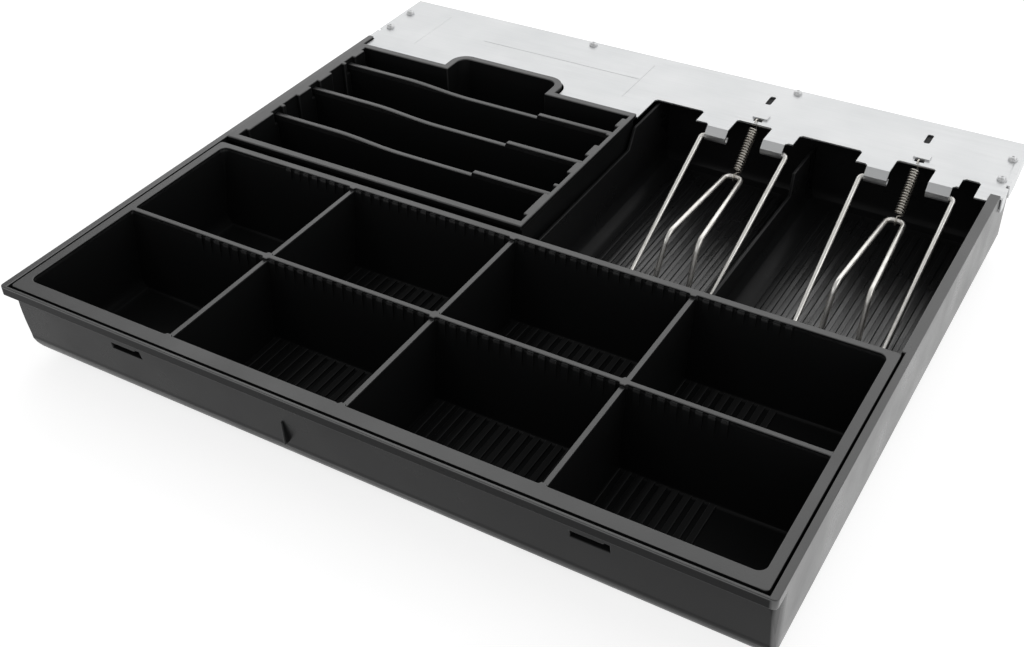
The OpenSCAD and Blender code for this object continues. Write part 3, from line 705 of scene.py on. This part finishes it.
@dataclass
class ClipSpring:
    """A close coil with a hook at each end, from the clip's loop to the plate's bar."""

    side: Side
    wire_mm: float = 0.8
    coil_mm: float = 2.3
    hook_mm: float = 2.281
    lead_mm: float = 0.6
    turns: int = 17
    # The clip's loop from its hinge
    loop_mm: Triple = (0.0, -9.3, -15.0)
    leg_bend_mm: float = 0.8
    # Share of its length that the spring keeps when the clip is up
    kept_length: float = 0.9885
    # Edges round the wire, and rings along a hook, a leg's bend and one turn of the coil
    sides: int = 12
    hook_steps: int = 18
    bend_steps: int = 6
    turn_steps: int = 24

    def build(self) -> bpy.types.Mesh:
        """Winds the spring in its own frame, and lays it between the loop and the bar.

        Returns:
            The spring's mesh.
        """
        loop, bar = self.ends()
        span = (bar - loop).length / MM
        neck = self.hook_mm + 2 * self.lead_mm
        start = Vector((0, -self.hook_mm, self.wire_mm))
        wire = BentWire(start, Vector((0, 0, -1)), self.wire_mm / 2, self.sides)
        across = Vector((1, 0, 0))
        half_turn, quarter = math.pi, math.pi / 2
        wire.straight(Vector((0, -self.hook_mm, 0)))
        wire.turn(Vector((0, 0, 0)), across, half_turn, self.hook_steps)
        wire.straight(Vector((0, self.hook_mm, self.lead_mm)))
        wire.straight(Vector((-self.leg_bend_mm, self.coil_mm, neck - self.leg_bend_mm)))
        bend = Vector((0, self.coil_mm, neck - self.leg_bend_mm))
        wire.turn(bend, Vector((0, 1, 0)), quarter, self.bend_steps)
        wound = 2 * half_turn * self.turns
        coil = span - 2 * neck
        wire.turn(Vector((0, 0, 0)), Vector((0, 0, -1)), wound, self.turn_steps * self.turns, -coil)
        bend = Vector((0, self.coil_mm, span - neck + self.leg_bend_mm))
        wire.turn(bend, Vector((0, -1, 0)), quarter, self.bend_steps)
        wire.straight(Vector((0, self.hook_mm, span - self.lead_mm)))
        wire.straight(Vector((0, self.hook_mm, span)))
        wire.turn(Vector((0, 0, span)), across, half_turn, self.hook_steps)
        wire.straight(Vector((0, -self.hook_mm, span - self.wire_mm)))
        along = (bar - loop).normalized()
        upward = along.cross(across)
        lay = (Matrix((across, upward, along)).transposed() * MM).to_4x4()
        bmesh.ops.transform(wire.bm, matrix=Matrix.Translation(loop) @ lay, verts=wire.bm.verts)
        return wire.close(f"clip_spring_{self.side.value}_shape")

    def ends(self) -> tuple[Vector, Vector]:
        """Gives the middle of the clip's loop and of the plate's bar."""
        loop = joint_place(f"clip_{self.side.value}_lift") + Vector(self.loop_mm) * MM
        return loop, joint_place(f"spring_{self.side.value}_swing")

    def dress(self) -> bpy.types.Object:
        """Builds the spring.

        Returns:
            The piece.
        """
        mesh = self.build()
        mesh.materials.append(material_of(SPRING_WIRE))
        tag = self.side.value
        nodes = [f"clip_spring_{tag}"]
        piece = finish_piece(mesh, f"spring_coil_{tag}", f"spring_{tag}_body", nodes)
        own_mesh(piece)
        return piece


@dataclass
class PlateScrews:
    """The small pan-head screws of the rear plate, with a cross recess in each head."""

    head_mm: float = 5.0
    head_high_mm: float = 2.0
    shank_mm: float = 2.4
    shank_long_mm: float = 4.0
    # The cross lies in a grid: its cells along a side, their width, its depth and its floor's share
    cross_cells: int = 3
    cross_mm: float = 0.5
    cross_deep_mm: float = 0.4
    cross_taper: float = 0.75
    # Rings of the head, each with its radius as a share of the head's width and its depth from the top
    dome: tuple[Span, ...] = ((0.29, 0.12), (0.42, 0.55), (0.5, 1.44))
    sides: int = 12
    crease: float = 50.0

    def places(self) -> list[Vector]:
        """Finds each screw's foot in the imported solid.

        Returns:
            The lowest point on each screw's axis.
        """
        bm = bmesh.new()
        bm.from_mesh(frame["nodes"]["plate_screws"].data)
        bmesh.ops.remove_doubles(bm, verts=bm.verts, dist=SAME_POINT)
        left = set(bm.verts)
        found = []
        while left:
            reach = [left.pop()]
            box = [reach[0].co.copy(), reach[0].co.copy()]
            while reach:
                vert = reach.pop()
                for i in range(3):
                    box[0][i] = min(box[0][i], vert.co[i])
                    box[1][i] = max(box[1][i], vert.co[i])
                near = {e.other_vert(vert) for e in vert.link_edges} & left
                left -= near
                reach.extend(near)
            found.append(Vector(((box[0].x + box[1].x) / 2, (box[0].y + box[1].y) / 2, box[0].z)))
        bm.free()
        return sorted(found, key=lambda p: (round(p.x, 4), p.y))

    def head(self, bm: bmesh.types.BMesh, seat: Vector) -> None:
        """Adds one screw: a cross recess, a domed head round it and the shank.

        Args:
            bm: the bmesh that takes it.
            seat: the middle of the head's underside.
        """
        known = set(bm.verts)
        cells = self.cross_cells
        wide = self.cross_mm * cells / 2
        grid = bmesh.ops.create_grid(bm, x_segments=cells, y_segments=cells, size=wide)
        faces = list({f for v in grid["verts"] for f in v.link_faces})
        middles = {f: f.calc_center_median() for f in faces}
        cross = [f for f in faces if min(abs(middles[f].x), abs(middles[f].y)) < self.cross_mm / 2]
        rim = [e for e in bm.edges if e.is_boundary and set(e.verts) <= set(grid["verts"])]
        sunk = bmesh.ops.extrude_face_region(bm, geom=cross)["geom"]
        bmesh.ops.delete(bm, geom=cross, context="FACES_ONLY")
        floor = [g for g in sunk if isinstance(g, bmesh.types.BMVert)]
        bmesh.ops.translate(bm, verts=floor, vec=(0, 0, -self.cross_deep_mm))
        bmesh.ops.scale(bm, verts=floor, vec=(self.cross_taper, self.cross_taper, 1.0))
        shape = [(self.head_mm * share, -deep) for share, deep in self.dome]
        shape += [(self.head_mm / 2, -self.head_high_mm), (self.shank_mm / 2, -self.head_high_mm)]
        shape.append((self.shank_mm / 2, -self.head_high_mm - self.shank_long_mm))
        turn = Matrix.Rotation(math.pi / self.sides, 4, "Z")
        last = rim
        for radius, level in shape:
            made = bmesh.ops.create_circle(bm, cap_ends=False, segments=self.sides, radius=radius)
            ring = made["verts"]
            bmesh.ops.transform(bm, matrix=Matrix.Translation((0, 0, level)) @ turn, verts=ring)
            edges = list({e for v in ring for e in v.link_edges})
            bmesh.ops.bridge_loops(bm, edges=last + edges)
            last = edges
        bmesh.ops.holes_fill(bm, edges=last, sides=0)
        fresh = [v for v in bm.verts if v not in known]
        lift = Matrix.Translation(seat + Vector((0, 0, self.head_high_mm * MM)))
        bmesh.ops.transform(bm, matrix=lift @ Matrix.Scale(MM, 4), verts=fresh)

    def dress(self) -> bpy.types.Object:
        """Builds the screws in one piece and plates them.

        Returns:
            The piece.
        """
        bm = bmesh.new()
        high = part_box("plate_screws")[1].z
        for place in self.places():
            self.head(bm, Vector((place.x, place.y, high - self.head_high_mm * MM)))
        bmesh.ops.recalc_face_normals(bm, faces=bm.faces)
        mesh = smooth_mesh(bm, "plate_screws_shape", self.crease)
        mesh.materials.append(material_of(SCREW_STEEL))
        return finish_piece(mesh, "pan_head_screws", "tub_body", ["plate_screws"])


@dataclass(frozen=True)
class Softbox:
    """A flat lamp that faces the insert."""

    name: str
    place: Triple
    size: Span
    # How bright its face is, where 1 is white
    radiance: float

    def hang(self) -> None:
        """Hangs the lamp."""
        data = bpy.data.lights.new(self.name, "AREA")
        data.shape = "RECTANGLE"
        data.size, data.size_y = self.size
        data.energy = self.radiance * math.pi * self.size[0] * self.size[1]
        lamp = bpy.data.objects.new(self.name, data)
        spot = Vector(self.place)
        turn = (-spot).to_track_quat("-Z", "Y").to_matrix().to_4x4()
        lamp.matrix_world = Matrix.Translation(spot) @ turn
        bpy.context.scene.collection.objects.link(lamp)


@dataclass
class Studio:
    """A pale floor, soft lamps and the camera at the photo's angle."""

    eye: Triple = (0.270614, -0.477156, 0.406432)
    gaze: Triple = (-0.41178, 0.67246, -0.61501)
    level: Triple = (0.86134, 0.50757, -0.02172)
    lens_mm: float = 46.72
    sensor_mm: float = 36.0
    floor_m: float = 20.0
    floor_cells: int = 4
    floor_drop_mm: float = 0.2
    floor_shade: float = 0.5
    floor_roughness: float = 0.9
    floor_glow: float = 0.78
    # Height of the white walls, as the sine of the angle above the horizon
    wall_rise: Span = (0.05, 0.3)
    ceiling: float = 0.42
    lamps: tuple[Softbox, ...] = (
        Softbox("rear_softbox", (-0.2, 1.25, 1.05), (2.9, 1.4), 0.8),
        Softbox("right_softbox", (1.5, 0.3, 1.5), (1.2, 1.2), 1.0),
        Softbox("front_softbox", (-0.8, -1.2, 1.3), (0.5, 0.4), 2.0),
    )

    def camera(self) -> None:
        """Sets the camera."""
        ahead = Vector(self.gaze).normalized()
        right = Vector(self.level)
        right = (right - right.dot(ahead) * ahead).normalized()
        up = right.cross(ahead)
        data = bpy.data.cameras.new("photo_camera")
        data.lens = self.lens_mm
        data.sensor_width = self.sensor_mm
        lens = bpy.data.objects.new("photo_camera", data)
        turn = Matrix((right, up, -ahead)).transposed().to_4x4()
        lens.matrix_world = Matrix.Translation(self.eye) @ turn
        bpy.context.scene.collection.objects.link(lens)
        bpy.context.scene.camera = lens

    def floor(self) -> None:
        """Lays the pale floor just under the tub."""
        bm = bmesh.new()
        cells = self.floor_cells
        bmesh.ops.create_grid(bm, x_segments=cells, y_segments=cells, size=self.floor_m / 2)
        mesh = bpy.data.meshes.new("floor")
        bmesh.ops.translate(bm, verts=bm.verts, vec=(0, 0, CAD_BOX[0][2] - self.floor_drop_mm * MM))
        bm.to_mesh(mesh)
        bm.free()
        mesh.materials.append(self.floor_paint())
        ground = bpy.data.objects.new("floor", mesh)
        bpy.context.scene.collection.objects.link(ground)

    def floor_paint(self) -> bpy.types.Material:
        """Makes the floor's matt white, which the camera and reflections see whiter than it lights.

        Returns:
            The floor's material.
        """
        shader = Shader("pale_floor")
        shader.put("Base Color", (self.floor_shade,) * 3)
        shader.put("Roughness", self.floor_roughness)
        shader.put("Specular IOR Level", 0.0)
        shader.put("Emission Color", (1.0, 1.0, 1.0))
        path = shader.tree.nodes.new("ShaderNodeLightPath")
        seen = path.outputs["Is Camera Ray"]
        for ray in ("Is Glossy Ray", "Is Transmission Ray"):
            seen = shader.larger(seen, path.outputs[ray])
        shader.link(shader.spread(seen, 0.0, self.floor_glow), "Emission Strength")
        return shader.material

    def air(self) -> None:
        """Surrounds the scene with white walls under a dimmer ceiling."""
        world = bpy.data.worlds.new("studio")
        bpy.context.scene.world = world
        world.use_nodes = True
        tree = world.node_tree
        heading = tree.nodes.new("ShaderNodeTexCoord")
        split = tree.nodes.new("ShaderNodeSeparateXYZ")
        tree.links.new(heading.outputs["Generated"], split.inputs["Vector"])
        strength = tree.nodes.new("ShaderNodeMapRange")
        strength.inputs["From Min"].default_value = self.wall_rise[0]
        strength.inputs["From Max"].default_value = self.wall_rise[1]
        strength.inputs["To Min"].default_value = 1.0
        strength.inputs["To Max"].default_value = self.ceiling
        tree.links.new(split.outputs["Z"], strength.inputs["Value"])
        back = tree.nodes["Background"]
        back.inputs["Color"].default_value = (1.0, 1.0, 1.0, 1.0)
        tree.links.new(strength.outputs["Result"], back.inputs["Strength"])

    def build(self) -> None:
        """Sets the stage."""
        self.camera()
        self.floor()
        for lamp in self.lamps:
            lamp.hang()
        self.air()
        bpy.context.scene.view_settings.view_transform = "Standard"


def main() -> None:
    """Builds the stage and each sub-assembly in turn."""
    logging.basicConfig(level=logging.INFO, format="%(message)s")
    Studio().build()
    SoftenedSolid("tub", "tub_body", TUB_PLASTIC, round_mm=0.45, steps=3).dress("tub_shell")
    SoftenedSolid("coin_tray", "coin_tray_body", TRAY_PLASTIC, round_mm=0.4).dress("coin_tray_shell")
    SoftenedSolid("note_box", "note_box_body", BOX_PLASTIC, round_mm=0.6).dress("note_box_shell")
    for place in Place:
        tag = place.value
        node, body = f"note_divider_{tag}", f"divider_{tag}_body"
        SoftenedSolid(node, body, DIVIDER_PLASTIC, round_mm=0.4).dress(f"divider_sheet_{tag}")
    SoftenedSolid("rear_plate", "tub_body", PLATE_STEEL, round_mm=0.12).dress("rear_plate_sheet")
    PlateScrews().dress()
    for side in Side:
        NoteClip(side).dress()
        ClipSpring(side).dress()


if __name__ == "__main__":
    main()
